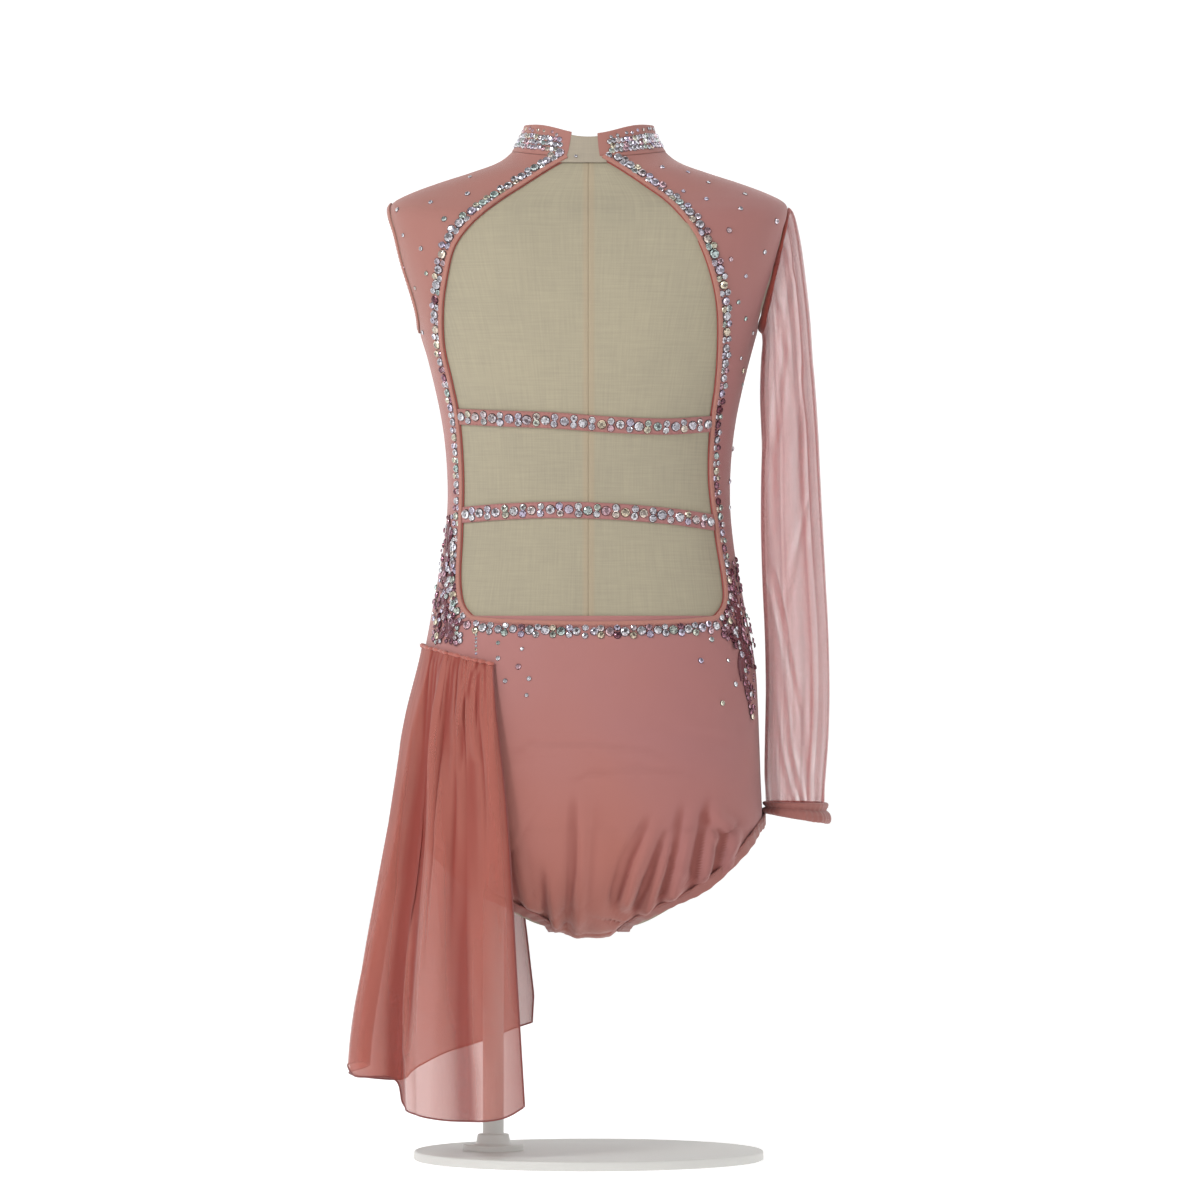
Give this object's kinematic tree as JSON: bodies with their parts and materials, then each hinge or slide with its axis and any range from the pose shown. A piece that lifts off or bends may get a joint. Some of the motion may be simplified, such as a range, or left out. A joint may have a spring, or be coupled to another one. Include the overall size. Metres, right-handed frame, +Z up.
{
  "type": "lyrical dance dress on dress form",
  "caption": "Open-backed lyrical leotard dress with high collar, one long sheer sleeve and a gathered chiffon half skirt, worn by a limbless dress form on a round stand.",
  "frame": {"origin": "centre of the underside of the stand's round base plate, under the dress form's axis", "axes": "+Z up; the dress's open back faces -Y and its front +Y; the sleeve is on +X and the half skirt on -X"},
  "size_m": [0.416, 0.3, 0.887],
  "materials": {
    "knit": "dusty coral stretch knit with a soft sheen",
    "trim": "matt stretch elastic covered in the same knit",
    "sheer_mesh": "fine stretch mesh, slightly see-through",
    "chiffon": "matt crinkled chiffon, slightly see-through",
    "lace": "wine-coloured beaded lace",
    "tape": "beige woven hook tape",
    "muslin": "beige muslin cover, matt",
    "painted_steel": "white powder coat, satin"
  },
  "bodies": {
    "root": {"front_body": "knit", "back_body": "knit", "opening_binding": "trim", "strap_upper": "knit", "strap_lower": "knit", "leg_band_left": "trim", "leg_band_right": "trim", "armhole_binding": "trim", "collar": "knit", "collar_tab": "tape", "sleeve": "sheer_mesh", "cuff": "trim", "skirt_drape": "chiffon", "applique_left": "lace", "applique_right": "lace", "form_torso": "muslin", "form_rod": "painted_steel", "form_base": "painted_steel"}
  },
  "joints": []
}
